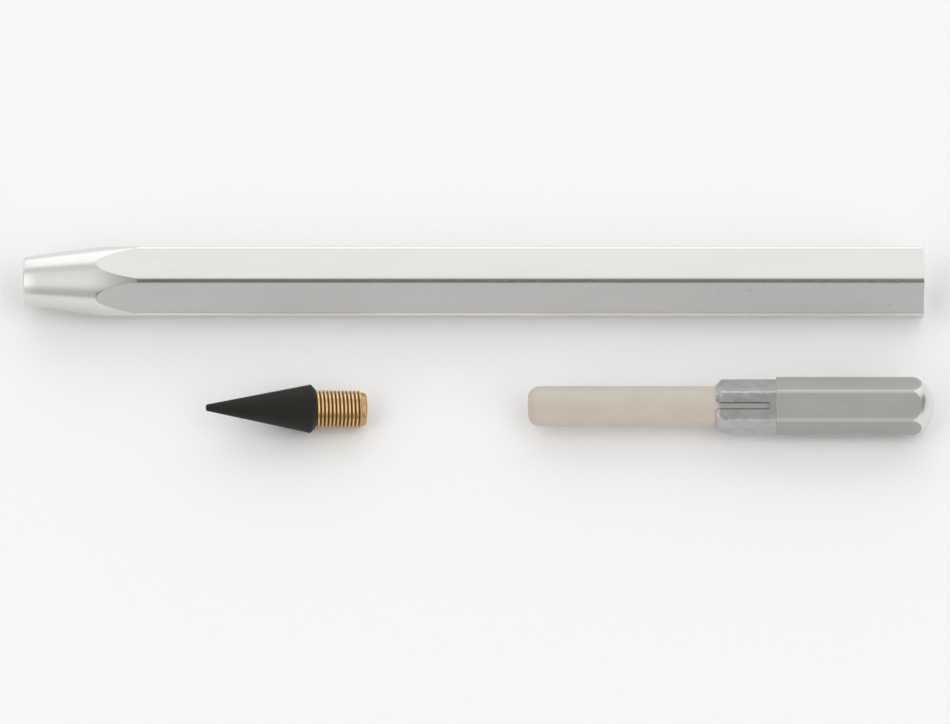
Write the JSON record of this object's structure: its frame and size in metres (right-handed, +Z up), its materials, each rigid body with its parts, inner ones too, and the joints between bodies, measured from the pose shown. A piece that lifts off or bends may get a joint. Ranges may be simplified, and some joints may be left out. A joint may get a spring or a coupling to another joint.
{
  "type": "inkless metal pencil",
  "caption": "Hexagonal metal pencil laid out in parts: tapered barrel, graphite cone on a brass screw, and a domed cap whose slotted plug grips an eraser.",
  "frame": {"origin": "on the table, on the barrel's resting flat, under the middle of the barrel's length", "axes": "+X along the barrel's axis from its nose to its rear, +Y away from the tip and the cap, +Z up"},
  "size_m": [0.1184, 0.0271, 0.009],
  "materials": {
    "satin_aluminium": "satin",
    "graphite": "matte",
    "brass": "machined",
    "eraser_rubber": "matte",
    "rough_casting": "as cast",
    "cap_metal": "satin flats, polished dome"
  },
  "bodies": {
    "barrel": {"barrel": "satin_aluminium"},
    "tip": {"graphite_cone": "graphite", "brass_stub": "brass"},
    "cap": {"end_cap": "cap_metal", "eraser_collet": "rough_casting"},
    "eraser": {"eraser_stick": "eraser_rubber"}
  },
  "joints": [
    {"name": "tip_turn", "type": "hinge", "parent": "barrel", "child": "tip", "pos_m": [-0.0213, -0.01863, 0.00318], "axis": [0.9919, 0.0572, -0.1136], "continuous": true},
    {"name": "cap_pull", "type": "slide", "parent": "barrel", "child": "cap", "axis": [1, 0, 0], "range_m": [0, 0.0517]},
    {"name": "eraser_draw", "type": "slide", "parent": "cap", "child": "eraser", "axis": [-1, 0, 0], "range_m": [-0.006, 0.01]}
  ]
}
